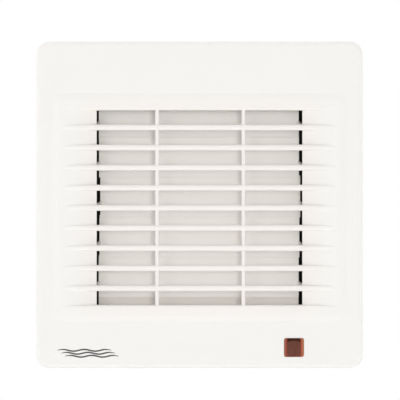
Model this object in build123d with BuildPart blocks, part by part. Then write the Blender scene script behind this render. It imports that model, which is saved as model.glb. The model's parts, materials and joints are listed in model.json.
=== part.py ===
from build123d import *
import os
from math import cos, radians, sin

# Heat recovery unit: a single-room ventilator that stores heat in a ceramic core.
# A square room-side fascia with an automatic shutter covers an axial fan in a chassis,
# and a 100 mm tube through the wall holds the filter, the heat store and a screen.
# Millimetres. X to the right seen from the room, Y into the wall, Z up.
# The origin is on the duct's axis in the plane of the wall's inner face.

# Fascia
FASCIA_SIZE = 160.0
FASCIA_CORNER = 6.5
FASCIA_WALL = 2.0
FASCIA_EDGE = 2.0
PLATE_FRONT = -35.5
PLATE_BACK = PLATE_FRONT + FASCIA_WALL
SKIRT_BACK = -1.0
PAD_WIDTH = 138.0
PAD_HEIGHT = 105.7
PAD_Z = -1.35
PAD_RAISE = 0.5
PAD_CORNER = 2.0
PAD_SLOPE = 3.0
PAD_FRONT = PLATE_FRONT - PAD_RAISE

# Louvre window and its bars
ROWS = 10
ROW_PITCH = 9.845
BAR_FIRST = 37.85
BAR_HEIGHT = 2.9
BAR_DEPTH = 3.0
BAR_ROUND = 1.3
WINDOW_TOP = 46.2
WINDOW_BOTTOM = -49.1
WINDOW_ROUND = 1.2
WINDOW_ENDS = (-50.47, 50.35)
POCKET_HALF = 67.0
RAMP_END = -33.6
RAMP_THICK = 1.5
UPRIGHTS = [-20.8, 21.5]
UPRIGHT_WIDTH = 2.0
UPRIGHT_FRONT = -35.4
UPRIGHT_BACK = -33.9
UPRIGHT_ROUND = 0.8
COLLAR_THICK = 1.5
COLLAR_BACK = -29.0
COLLAR_HALF = 60.0
NOTCH_HALF = 9.0
NOTCH_DEPTH = 3.0

# Pegs that hold the fascia on the chassis
PEG_SPOTS = [(-70.5, 52.0), (70.5, 52.0), (-70.5, -57.5), (70.5, -57.5)]
PEG_RADIUS = 2.5
PEG_CLEARANCE = 0.08
PEG_TIP = -29.0
PEG_BASE_RADIUS = 4.0
PEG_BASE_TOP = -19.5
SOCKET_BACK = -20.0

# Indicator
LENS_X = 46.2
LENS_Z = -69.9
LENS_WIDTH = 9.6
LENS_HEIGHT = 9.1
LENS_FRONT = -35.8
LENS_GAP = 0.1
LENS_CORNER = 0.9
LENS_FLANGE = 0.9
LENS_FLANGE_THICK = 1.2
LENS_FACE_THICK = 1.4
LENS_CAVITY_WIDTH = 6.9
LENS_CAVITY_HEIGHT = 8.0
LENS_COLLAR_WALL = 1.5
COLLAR_END = -30.5
LAMP_RADIUS = 2.3
LAMP_TIP = -33.4
LAMP_BASE = -25.0
LAMP_LEAD_PITCH = 2.54

# Radial gap of a pin that turns in its hole, and the holes and shanks of the small screws
RUNNING = 0.07
SCREW_CLEARANCE = 1.4
SCREW_PILOT = 1.15
SCREW_SHANK = 1.1
SCREW_HEAD = 2.4
SCREW_HEAD_HEIGHT = 1.6

# Shutter
PIVOT_Y = -25.5
PIVOT_TOP = 39.0
BLADE_COUNT = 5
BLADE_PITCH = 2 * ROW_PITCH
PIVOTS = [PIVOT_TOP - index * BLADE_PITCH for index in range(BLADE_COUNT)]
BLADE_SHIFTS = [-0.38, -0.3, 0.3, -0.1, -0.45]
BLADE_HALF = 49.2
BLADE_ABOVE = 14.9
BLADE_BELOW = 5.9
BLADE_THICK = 1.2
LAP_THICK = 0.5
LAP_GAP = 0.06
BLADE_EDGE = 0.2
EAR_RADIUS = 2.3
EAR_ROOT = 0.8
EAR_LENGTH = 1.3
PIN_RADIUS = 1.2
PIN_LEFT = -54.2
PIN_RIGHT = 57.8
FRAME_HALF = 54.5
FRAME_WALL = 2.5
FRAME_TOP = 58.5
FRAME_BOTTOM = -53.0
FRAME_FRONT = -28.5
FRAME_CORNER = 2.0
LIP_THICK = 1.4
TOP_LIP_FRONT = -27.0
TOP_LIP_EDGE = 52.8
BOTTOM_LIP_FRONT = -24.5
BOTTOM_LIP_EDGE = -44.5
FRAME_EAR_RADIUS = 4.0
FRAME_EAR_THICK = 2.0
FRAME_EARS = [(-45.0, 61.5), (45.0, 61.5), (-45.0, -56.5), (45.0, -56.5)]

# Shutter drive
CRANK_RADIUS = 6.0
CRANK_ANGLE = 37.5
CRANK_Y = CRANK_RADIUS * cos(radians(CRANK_ANGLE))
CRANK_Z = CRANK_RADIUS * sin(radians(CRANK_ANGLE))
CRANK_LEFT = 55.0
CRANK_RIGHT = 58.0
CRANK_PIN = 1.1
CRANK_HUB = 3.2
CRANK_END = 2.2
PRESSED = 0.01
LINK_LEFT = 58.3
LINK_THICK = 2.5
LINK_WIDTH = 5.0
LINK_MARGIN = 4.0
LINK_CORNER = 2.0
LUG_RIGHT = 71.5
LUG_DEPTHS = (-24.0, -17.0)
LUG_TOP = -20.0
LUG_THICK = 2.5
ACTUATOR_X = 67.3
ACTUATOR_Y = -20.5
ACTUATOR_RADIUS = 4.6
ACTUATOR_TOP = 22.0
ACTUATOR_BOTTOM = -10.0
NECK_BOTTOM = -14.0
NECK_RADIUS = 3.0
ACTUATOR_BORE = 24.0
TAB_X = 2.0
TAB_LENGTH = 6.0
PLUNGER_RADIUS = 1.8
PLUNGER_GAP = 0.25
PLUNGER_LENGTH = 22.0
SHELF_TOP = -50.0
SHELF_THICK = 2.0
SHELF_RIGHT = 72.0
SHELF_DEPTHS = (-25.0, -16.0)
SPRING_PEG_RADIUS = 2.0
SPRING_PEG_HEIGHT = 13.5
SPRING_TURNS = 8
SPRING_RADIUS = 3.2
SPRING_WIRE = 0.35

# Chassis
CHASSIS_SIZE = 155.2
CHASSIS_CORNER = 4.1
CHASSIS_FRONT = -27.0
CHASSIS_WALL = 2.0
BACK_PLATE = 2.5
DECK_FRONT = -9.5
DECK_THICK = 2.0
DECK_HALF = 57.0
DECK_TOP = 66.0
DECK_BOTTOM = -62.0
DUCT_BORE = 45.7
DUCT_OUTER = 47.2
MOUTH_ROUND = 1.4
SPIGOT_END = 55.0
SPIGOT_FLANGE = 50.5
SPIGOT_FLANGE_THICK = 1.2
SEAL_FRONT = 44.0
SEAL_WIDTH = 3.0
SEAL_GROOVE = 0.6
BOSS_RADIUS = 3.0
WALL_SCREW_PITCH = 132.0
WALL_SCREW_HOLE = 2.25
WALL_SCREW_BOSS = 4.5
WALL_SCREW_SEAT = -5.0
SADDLE_BOTTOMS = (-6.0, 12.0)
SADDLE_HEIGHT = 4.0
SADDLE_RADIUS = 5.8
SADDLE_MOUTH = 6.6
CABLE_X = -65.0
CABLE_Z = 40.0
GROMMET_NECK = 4.9
GROMMET_FLANGE = 6.9
GROMMET_BORE = 3.2
GROMMET_RECESS = 1.2
GROMMET_SEAT = -3.7
CLAMP_SPOTS = [(-70.5, 24.0), (-60.5, 24.0)]
CLAMP_SEAT = -9.5
CLAMP_POST = 2.6
CLAMP_THICK = 3.0

# Mains terminals
TERMINAL_LEFT = -73.0
TERMINAL_RIGHT = -59.0
TERMINAL_BOTTOM = -24.0
TERMINAL_TOP = 14.0
TERMINAL_FRONT = -15.0
TERMINAL_BACK = -5.0
TERMINAL_SPOTS = [(x, z) for z in (-17.0, -5.0, 7.0) for x in (-69.0, -63.0)]
TERMINAL_WELL = 2.2
TERMINAL_SEAT = -11.5

# Motor and impeller
BRACKET_FRONT = 22.0
BRACKET_BACK = 34.0
BRACKET_PLATE = 28.0
BRACKET_PLATE_THICK = 2.5
BRACKET_PLATE_RADIUS = 19.0
BRACKET_RING = 2.0
BRACKET_SPOKES = 5
SPOKE_WIDTH = 2.4
LEDGE_HEIGHT = 1.2
MOTOR_SCREW_CIRCLE = 12.0
MOTOR_BASE_FRONT = 26.0
MOTOR_BASE_RADIUS = 18.0
TUBE_FRONT = 9.0
TUBE_OUTER = 5.2
BEARING_RADIUS = 4.0
BEARING_LENGTH = 3.5
BEARING_FRONTS = (9.6, 20.0)
SHAFT_RADIUS = 1.5
SHAFT_BACK = 26.5
STATOR_RADIUS = 15.5
STATOR_FRONT = 12.0
STATOR_BACK = 20.0
WINDING_ENDS = ((9.6, 11.95), (20.05, 22.4))
MOTOR_BOARD_BACK = 25.0
MOTOR_BOARD_THICK = 1.5
MOTOR_BOARD_RADIUS = 16.0
CUP_OUTER = 18.5
CUP_INNER = 17.5
CUP_FRONT = 5.0
CUP_BACK = 23.0
CUP_FLOOR = 1.2
CUP_HUB_BACK = 8.6
CUP_HUB_RADIUS = 3.2
MAGNET_INNER = 16.0
MAGNET_BACK = 22.5
MAGNET_LENGTH = 14.0
HUB_RADIUS = 20.0
HUB_ROUND = 1.8
HUB_FRONT = 2.5
HUB_BACK = 21.0
TIP_RADIUS = 44.5
IMPELLER_BLADES = 7
FAN_MIDDLE = 11.0
FAN_SECTIONS = [(17.0, 21.0, 1.9, 42.0), (32.0, 26.0, 1.5, 31.0), (47.0, 31.0, 1.1, 24.0)]
STATOR_TEETH = 6

# Leads
LEAD_SLOT = 2.6
LEAD_SLOT_BACK = 29.0
MOTOR_LEAD_RADIUS = 0.8
MOTOR_LEAD_DROP = -46.6
WIRE_RADIUS = 0.7

# Control board
BOARD_FRONT = -20.0
BOARD_THICK = 1.6
BOARD_LEFT = -40.0
BOARD_RIGHT = 56.0
BOARD_TOP = -57.5
BOARD_BOTTOM = -73.5
BOARD_SCREWS = [(-35.0, -65.5), (30.0, -65.5)]
BOARD_MIDDLE = (BOARD_TOP + BOARD_BOTTOM) / 2

# Wall tube and what it holds
TUBE_RADIUS = 50.0
TUBE_BORE = 47.5
TUBE_LENGTH = 225.0
SOCKET_BORE = 48.6
SOCKET_DEPTH = 35.0
FIT_RADIUS = TUBE_BORE - 0.05
FILTER_FRONT = 62.0
FILTER_BACK = 72.0
FILTER_OPENING = 46.0
RIB_WIDTH = 1.6
CORE_FRONT = 76.0
CORE_BACK = 176.0
CORE_RADIUS = 45.5
CHANNEL = 4.2
CHANNEL_PITCH = 5.2
CHANNEL_LIMIT = 43.6
SCREEN_FRONT = 178.0
SCREEN_BACK = 182.0
SCREEN_OPENING = 44.5
SCREEN_RINGS = (38.0, 31.0, 24.0, 17.0, 10.0)

os.makedirs("parts", exist_ok=True)


def facing(y):
    """A sketch plane at depth y, with X right and Z up; an extrusion comes towards the room."""
    return Plane.XZ.offset(-y)


def column(y_front, y_back, radius, spots):
    """Round posts between two depths at the given (x, z) spots, added to the open part."""
    with BuildSketch(facing(y_back)) as rounds:
        with Locations(*spots):
            Circle(radius)
    extrude(rounds.sketch, amount=y_back - y_front)


def bore(y_front, y_back, radius, spots):
    """Round holes between two depths at the given (x, z) spots, cut from the open part."""
    with BuildSketch(facing(y_back)) as rounds:
        with Locations(*spots):
            Circle(radius)
    extrude(rounds.sketch, amount=y_back - y_front, mode=Mode.SUBTRACT)


def block(x_range, y_range, z_range, corner=0.0, mode=Mode.ADD):
    """A box from its ranges, with its corners rounded as seen from the room."""
    width = x_range[1] - x_range[0]
    height = z_range[1] - z_range[0]
    with BuildSketch(facing(y_range[1])) as outline:
        with Locations((x_range[0] + width / 2, z_range[0] + height / 2)):
            if corner > 0:
                RectangleRounded(width, height, corner)
            else:
                Rectangle(width, height)
    extrude(outline.sketch, amount=y_range[1] - y_range[0], mode=mode)


def screws(seat, head_radius, head_height, shank_radius, length, spots):
    """Cross-head screws with their heads towards the room, seated at depth seat."""
    column(seat - head_height, seat, head_radius, spots)
    column(seat, seat + length, shank_radius, spots)
    recess = head_radius * 1.1
    for x, z in spots:
        top = (seat - head_height, seat - head_height * 0.5)
        block((x - recess / 2, x + recess / 2), top, (z - 0.3, z + 0.3), mode=Mode.SUBTRACT)
        block((x - 0.3, x + 0.3), top, (z - recess / 2, z + recess / 2), mode=Mode.SUBTRACT)


def lead(points, radius, bend=2.5):
    """One insulated lead along a bent route, added to the open part."""
    with BuildLine() as route:
        FilletPolyline(*points, radius=bend)
    with BuildSketch(Plane(origin=route.line @ 0, z_dir=route.line % 0)) as section:
        Circle(radius)
    sweep(section.sketch, path=route.line)


# ---------------------------------------------------------------- fascia
with BuildPart() as fascia:
    half = FASCIA_SIZE / 2
    block((-half, half), (PLATE_FRONT, SKIRT_BACK), (-half, half), FASCIA_CORNER)
    fillet(fascia.faces().sort_by(Axis.Y)[0].edges(), FASCIA_EDGE)
    inside = half - FASCIA_WALL
    block(
        (-inside, inside),
        (PLATE_BACK, SKIRT_BACK),
        (-inside, inside),
        FASCIA_CORNER - FASCIA_WALL,
        mode=Mode.SUBTRACT,
    )
    # A raised pad round the window, with long soft slopes at its edges
    for depth, spread in ((PLATE_FRONT, PAD_SLOPE), (PAD_FRONT, 0.0)):
        with BuildSketch(facing(depth)):
            with Locations((0, PAD_Z)):
                RectangleRounded(PAD_WIDTH + 2 * spread, PAD_HEIGHT + 2 * spread, PAD_CORNER + spread)
    loft()
    # The window's pocket with rounded lips, its sloping sides and the collars above and below it
    block(
        (-POCKET_HALF, POCKET_HALF),
        (PAD_FRONT - 1.0, PLATE_BACK + 1.0),
        (WINDOW_BOTTOM, WINDOW_TOP),
        mode=Mode.SUBTRACT,
    )
    pad_face = fascia.faces().sort_by(Axis.Y)[0]
    fillet(pad_face.inner_wires()[0].edges().filter_by(Axis.X), WINDOW_ROUND)
    ramp_top = WINDOW_TOP + COLLAR_THICK
    ramp_bottom = WINDOW_BOTTOM - COLLAR_THICK
    with BuildSketch(Plane.XY.offset(ramp_bottom)):
        for side, window_end in zip((-1, 1), WINDOW_ENDS):
            with BuildLine():
                Polyline(
                    (side * POCKET_HALF, PAD_FRONT),
                    (window_end, RAMP_END),
                    (window_end, RAMP_END + RAMP_THICK),
                    (side * (POCKET_HALF + RAMP_THICK), PLATE_BACK - 0.1),
                    (side * (POCKET_HALF + RAMP_THICK), PLATE_FRONT + 0.1),
                    close=True,
                )
            make_face()
    extrude(amount=ramp_top - ramp_bottom)
    for low in (ramp_bottom, WINDOW_TOP):
        block((-COLLAR_HALF, COLLAR_HALF), (PLATE_BACK - 0.5, COLLAR_BACK), (low, low + COLLAR_THICK))
    # Nine level bars with well rounded faces
    with BuildSketch(Plane.YZ.offset(-POCKET_HALF - 0.3)) as bars:
        for row in range(ROWS - 1):
            with Locations((PAD_FRONT + BAR_DEPTH / 2, BAR_FIRST - row * ROW_PITCH)):
                Rectangle(BAR_DEPTH, BAR_HEIGHT)
        fillet(bars.vertices().group_by(Axis.X)[0], BAR_ROUND)
    extrude(amount=2 * POCKET_HALF + 0.6)
    # Two thinner uprights behind the bars' faces
    with BuildSketch(Plane.XY.offset(WINDOW_BOTTOM - 0.5)) as uprights:
        for upright_x in UPRIGHTS:
            with Locations((upright_x, (UPRIGHT_FRONT + UPRIGHT_BACK) / 2)):
                Rectangle(UPRIGHT_WIDTH, UPRIGHT_BACK - UPRIGHT_FRONT)
        fillet(uprights.vertices().group_by(Axis.Y)[0], UPRIGHT_ROUND)
    extrude(amount=WINDOW_TOP - WINDOW_BOTTOM + 1.0)
    # Sockets for the chassis pegs
    column(PLATE_BACK - 0.5, SOCKET_BACK, PEG_BASE_RADIUS, PEG_SPOTS)
    bore(PLATE_BACK + 0.5, SOCKET_BACK, PEG_RADIUS + PEG_CLEARANCE, PEG_SPOTS)
    # The indicator's opening with a collar behind it
    lens_x = (LENS_X - LENS_WIDTH / 2 - LENS_GAP, LENS_X + LENS_WIDTH / 2 + LENS_GAP)
    lens_z = (LENS_Z - LENS_HEIGHT / 2 - LENS_GAP, LENS_Z + LENS_HEIGHT / 2 + LENS_GAP)
    block(
        (lens_x[0] - LENS_COLLAR_WALL, lens_x[1] + LENS_COLLAR_WALL),
        (PLATE_BACK - 0.5, COLLAR_END),
        (lens_z[0] - LENS_COLLAR_WALL, lens_z[1] + LENS_COLLAR_WALL),
        LENS_COLLAR_WALL,
    )
    block(lens_x, (PLATE_FRONT - 1.0, COLLAR_END), lens_z, 1.0, mode=Mode.SUBTRACT)
    # A finger notch in the lower edge for pulling the fascia off
    block(
        (-NOTCH_HALF, NOTCH_HALF),
        (SKIRT_BACK - NOTCH_DEPTH, SKIRT_BACK),
        (-half - 1.0, -inside + 1.0),
        mode=Mode.SUBTRACT,
    )
fascia.part.label = "fascia"
export_step(fascia.part, "parts/fascia.step")

# ---------------------------------------------------------------- indicator lens
with BuildPart() as indicator_lens:
    half_width = LENS_WIDTH / 2
    half_height = LENS_HEIGHT / 2
    seat = COLLAR_END + LENS_GAP
    block(
        (LENS_X - half_width, LENS_X + half_width),
        (LENS_FRONT, seat),
        (LENS_Z - half_height, LENS_Z + half_height),
        LENS_CORNER,
    )
    fillet(indicator_lens.faces().sort_by(Axis.Y)[0].edges(), 0.25)
    # A flange behind the collar keeps the lens from falling out
    block(
        (LENS_X - half_width - LENS_FLANGE, LENS_X + half_width + LENS_FLANGE),
        (seat, seat + LENS_FLANGE_THICK),
        (LENS_Z - half_height - LENS_FLANGE, LENS_Z + half_height + LENS_FLANGE),
        LENS_FLANGE,
    )
    block(
        (LENS_X - LENS_CAVITY_WIDTH / 2, LENS_X + LENS_CAVITY_WIDTH / 2),
        (LENS_FRONT + LENS_FACE_THICK, seat + LENS_FLANGE_THICK),
        (LENS_Z - LENS_CAVITY_HEIGHT / 2, LENS_Z + LENS_CAVITY_HEIGHT / 2),
        2.0,
        mode=Mode.SUBTRACT,
    )
indicator_lens.part.label = "indicator_lens"
export_step(indicator_lens.part, "parts/indicator_lens.step")

# ---------------------------------------------------------------- indicator lamp
lamp_leads = [(LENS_X + side * LAMP_LEAD_PITCH / 2, LENS_Z) for side in (-1, 1)]
with BuildPart() as indicator_lamp:
    column(LAMP_TIP, LAMP_BASE, LAMP_RADIUS, [(LENS_X, LENS_Z)])
    fillet(indicator_lamp.edges().group_by(Axis.Y)[0], 0.7 * LAMP_RADIUS)
    column(LAMP_BASE - 1.0, LAMP_BASE, LAMP_RADIUS + 0.4, [(LENS_X, LENS_Z)])
    column(LAMP_BASE - 0.2, BOARD_FRONT, 0.3, lamp_leads)
indicator_lamp.part.label = "indicator_lamp"
export_step(indicator_lamp.part, "parts/indicator_lamp.step")

# ---------------------------------------------------------------- shutter frame
with BuildPart() as shutter_frame:
    block(
        (-FRAME_HALF, FRAME_HALF),
        (FRAME_FRONT, DECK_FRONT),
        (FRAME_BOTTOM, FRAME_TOP),
        FRAME_CORNER,
    )
    block(
        (-FRAME_HALF + FRAME_WALL, FRAME_HALF - FRAME_WALL),
        (FRAME_FRONT, DECK_FRONT),
        (FRAME_BOTTOM + FRAME_WALL, FRAME_TOP - FRAME_WALL),
        mode=Mode.SUBTRACT,
    )
    # Lips that the first blade's top edge and the last blade's lower edge close against; the lower
    # one is as wide as its blade, so the narrow gaps beside the blades run on to the frame's floor
    lip_half = FRAME_HALF - FRAME_WALL / 2
    block(
        (-lip_half, lip_half),
        (TOP_LIP_FRONT, TOP_LIP_FRONT + LIP_THICK),
        (TOP_LIP_EDGE, FRAME_TOP - FRAME_WALL / 2),
    )
    block(
        (-BLADE_HALF + BLADE_SHIFTS[-1], BLADE_HALF + BLADE_SHIFTS[-1]),
        (BOTTOM_LIP_FRONT, BOTTOM_LIP_FRONT + LIP_THICK),
        (FRAME_BOTTOM + FRAME_WALL / 2, BOTTOM_LIP_EDGE),
    )
    # Screw ears at the back
    for x, z in FRAME_EARS:
        inward = -FRAME_EAR_RADIUS if z > 0 else FRAME_EAR_RADIUS
        with BuildSketch(facing(DECK_FRONT)):
            with Locations((x, z)):
                Circle(FRAME_EAR_RADIUS)
            with Locations((x, z + inward / 2)):
                Rectangle(2 * FRAME_EAR_RADIUS, FRAME_EAR_RADIUS)
        extrude(amount=FRAME_EAR_THICK)
    bore(DECK_FRONT - FRAME_EAR_THICK, DECK_FRONT, SCREW_CLEARANCE, FRAME_EARS)
    # The shelf and peg under the return spring
    block((FRAME_HALF - 1.0, SHELF_RIGHT), SHELF_DEPTHS, (SHELF_TOP - SHELF_THICK, SHELF_TOP))
    with BuildSketch(Plane.XY.offset(SHELF_TOP)):
        with Locations((ACTUATOR_X, ACTUATOR_Y)):
            Circle(SPRING_PEG_RADIUS)
    extrude(amount=SPRING_PEG_HEIGHT)
    # Pivot holes through both sides
    with BuildSketch(Plane.YZ.offset(-FRAME_HALF)):
        with Locations(*[(PIVOT_Y, z) for z in PIVOTS]):
            Circle(PIN_RADIUS + RUNNING)
    extrude(amount=2 * FRAME_HALF, mode=Mode.SUBTRACT)
shutter_frame.part.label = "shutter_frame"
export_step(shutter_frame.part, "parts/shutter_frame.step")

# ---------------------------------------------------------------- shutter blades
# Each blade's lower lip laps in front of the next blade's upper lip, so that their faces are level
front_face = -BLADE_THICK / 2
back_face = BLADE_THICK / 2
upper_step = BLADE_PITCH - BLADE_BELOW - LAP_GAP
lower_step = BLADE_ABOVE - BLADE_PITCH + LAP_GAP
for index, pivot_z in enumerate(PIVOTS):
    shift = BLADE_SHIFTS[index]
    leaf_plane = Plane(origin=(-BLADE_HALF + shift, PIVOT_Y, pivot_z), x_dir=(0, 1, 0), z_dir=(1, 0, 0))
    axle_plane = Plane(origin=(0, PIVOT_Y, pivot_z), x_dir=(1, 0, 0), z_dir=(0, -1, 0))
    with BuildPart() as shutter_blade:
        with BuildSketch(leaf_plane) as leaf:
            with BuildLine():
                Polyline(
                    (front_face, -BLADE_BELOW),
                    (front_face + LAP_THICK, -BLADE_BELOW),
                    (front_face + LAP_THICK, lower_step),
                    (back_face, lower_step),
                    (back_face, BLADE_ABOVE),
                    (back_face - LAP_THICK, BLADE_ABOVE),
                    (back_face - LAP_THICK, upper_step),
                    (front_face, upper_step),
                    close=True,
                )
            make_face()
            fillet(leaf.vertices().group_by(Axis.Y)[-1], BLADE_EDGE)
        extrude(amount=2 * BLADE_HALF)
        # Conical shoulders running out into the pivot pins
        with BuildSketch(axle_plane):
            for side, pin_end in ((-1, PIN_LEFT), (1, PIN_RIGHT)):
                shoulder = side * BLADE_HALF + shift
                with BuildLine():
                    Polyline(
                        (shoulder - side * EAR_ROOT, 0),
                        (shoulder - side * EAR_ROOT, EAR_RADIUS),
                        (shoulder, EAR_RADIUS),
                        (shoulder + side * EAR_LENGTH, PIN_RADIUS),
                        (pin_end, PIN_RADIUS),
                        (pin_end, 0),
                        close=True,
                    )
                make_face()
        revolve(axis=Axis((0, PIVOT_Y, pivot_z), (1, 0, 0)))
    name = f"shutter_blade_{index + 1}"
    shutter_blade.part.label = name
    export_step(shutter_blade.part, f"parts/{name}.step")

# ---------------------------------------------------------------- cranks on the blades' right pins
for index, pivot_z in enumerate(PIVOTS):
    hub = (PIVOT_Y, pivot_z)
    throw = (PIVOT_Y + CRANK_Y, pivot_z + CRANK_Z)
    with BuildPart() as shutter_crank:
        with BuildSketch(Plane.YZ.offset(CRANK_LEFT)):
            with Locations(hub):
                Circle(CRANK_HUB)
            with Locations(throw):
                Circle(CRANK_END)
            make_hull()
        extrude(amount=CRANK_RIGHT - CRANK_LEFT)
        with BuildSketch(Plane.YZ.offset(CRANK_RIGHT)):
            with Locations(throw):
                Circle(CRANK_PIN)
        extrude(amount=LINK_LEFT + LINK_THICK + 0.4 - CRANK_RIGHT)
        with BuildSketch(Plane.YZ.offset(CRANK_LEFT)):
            with Locations(hub):
                Circle(PIN_RADIUS + PRESSED)
        extrude(amount=CRANK_RIGHT - CRANK_LEFT, mode=Mode.SUBTRACT)
    name = f"shutter_crank_{index + 1}"
    shutter_crank.part.label = name
    export_step(shutter_crank.part, f"parts/{name}.step")

# ---------------------------------------------------------------- link bar joining the cranks
with BuildPart() as link_bar:
    link_y = PIVOT_Y + CRANK_Y
    link_top = PIVOTS[0] + CRANK_Z + LINK_MARGIN
    link_bottom = PIVOTS[-1] + CRANK_Z - LINK_MARGIN
    with BuildSketch(Plane.YZ.offset(LINK_LEFT)):
        with Locations((link_y, (link_top + link_bottom) / 2)):
            RectangleRounded(LINK_WIDTH, link_top - link_bottom, LINK_CORNER)
    extrude(amount=LINK_THICK)
    block((LINK_LEFT, LUG_RIGHT), LUG_DEPTHS, (LUG_TOP - LUG_THICK, LUG_TOP))
    with BuildSketch(Plane.YZ.offset(LINK_LEFT)):
        with Locations(*[(link_y, z + CRANK_Z) for z in PIVOTS]):
            Circle(CRANK_PIN + RUNNING)
    extrude(amount=LINK_THICK, mode=Mode.SUBTRACT)
link_bar.part.label = "link_bar"
export_step(link_bar.part, "parts/link_bar.step")

# ---------------------------------------------------------------- thermal actuator
with BuildPart() as actuator_body:
    with BuildSketch(Plane.XY.offset(ACTUATOR_BOTTOM)):
        with Locations((ACTUATOR_X, ACTUATOR_Y)):
            Circle(ACTUATOR_RADIUS)
    extrude(amount=ACTUATOR_TOP - ACTUATOR_BOTTOM)
    fillet(actuator_body.edges().filter_by(GeomType.CIRCLE), 0.6)
    with BuildSketch(Plane.XY.offset(NECK_BOTTOM)):
        with Locations((ACTUATOR_X, ACTUATOR_Y)):
            Circle(NECK_RADIUS)
    extrude(amount=ACTUATOR_BOTTOM - NECK_BOTTOM + 1.0)
    with BuildSketch(Plane.XY.offset(NECK_BOTTOM)):
        with Locations((ACTUATOR_X, ACTUATOR_Y)):
            Circle(PLUNGER_RADIUS + RUNNING)
    extrude(amount=ACTUATOR_BORE, mode=Mode.SUBTRACT)
    # Two tabs on top for the heater's leads
    with BuildSketch(Plane.XY.offset(ACTUATOR_TOP - 1.0)):
        with Locations((ACTUATOR_X - TAB_X, ACTUATOR_Y), (ACTUATOR_X + TAB_X, ACTUATOR_Y)):
            Rectangle(0.6, 2.8)
    extrude(amount=TAB_LENGTH + 1.0)
actuator_body.part.label = "actuator_body"
export_step(actuator_body.part, "parts/actuator_body.step")

with BuildPart() as actuator_plunger:
    with BuildSketch(Plane.XY.offset(LUG_TOP + PLUNGER_GAP)):
        with Locations((ACTUATOR_X, ACTUATOR_Y)):
            Circle(PLUNGER_RADIUS)
    extrude(amount=PLUNGER_LENGTH)
    fillet(actuator_plunger.edges().group_by(Axis.Z)[0], 0.8)
actuator_plunger.part.label = "actuator_plunger"
export_step(actuator_plunger.part, "parts/actuator_plunger.step")

# ---------------------------------------------------------------- return spring
with BuildPart() as return_spring:
    spring_bottom = SHELF_TOP + SPRING_WIRE + 0.05
    spring_top = LUG_TOP - LUG_THICK - SPRING_WIRE - 0.05
    coil_start = (ACTUATOR_X + SPRING_RADIUS, ACTUATOR_Y, spring_bottom)
    with BuildLine() as coil:
        Helix(
            pitch=(spring_top - spring_bottom) / SPRING_TURNS,
            height=spring_top - spring_bottom,
            radius=SPRING_RADIUS,
            center=(ACTUATOR_X, ACTUATOR_Y, spring_bottom),
        )
    with BuildSketch(Plane(origin=coil_start, z_dir=coil.line % 0)):
        Circle(SPRING_WIRE)
    sweep(is_frenet=True)
return_spring.part.label = "return_spring"
export_step(return_spring.part, "parts/return_spring.step")

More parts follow.
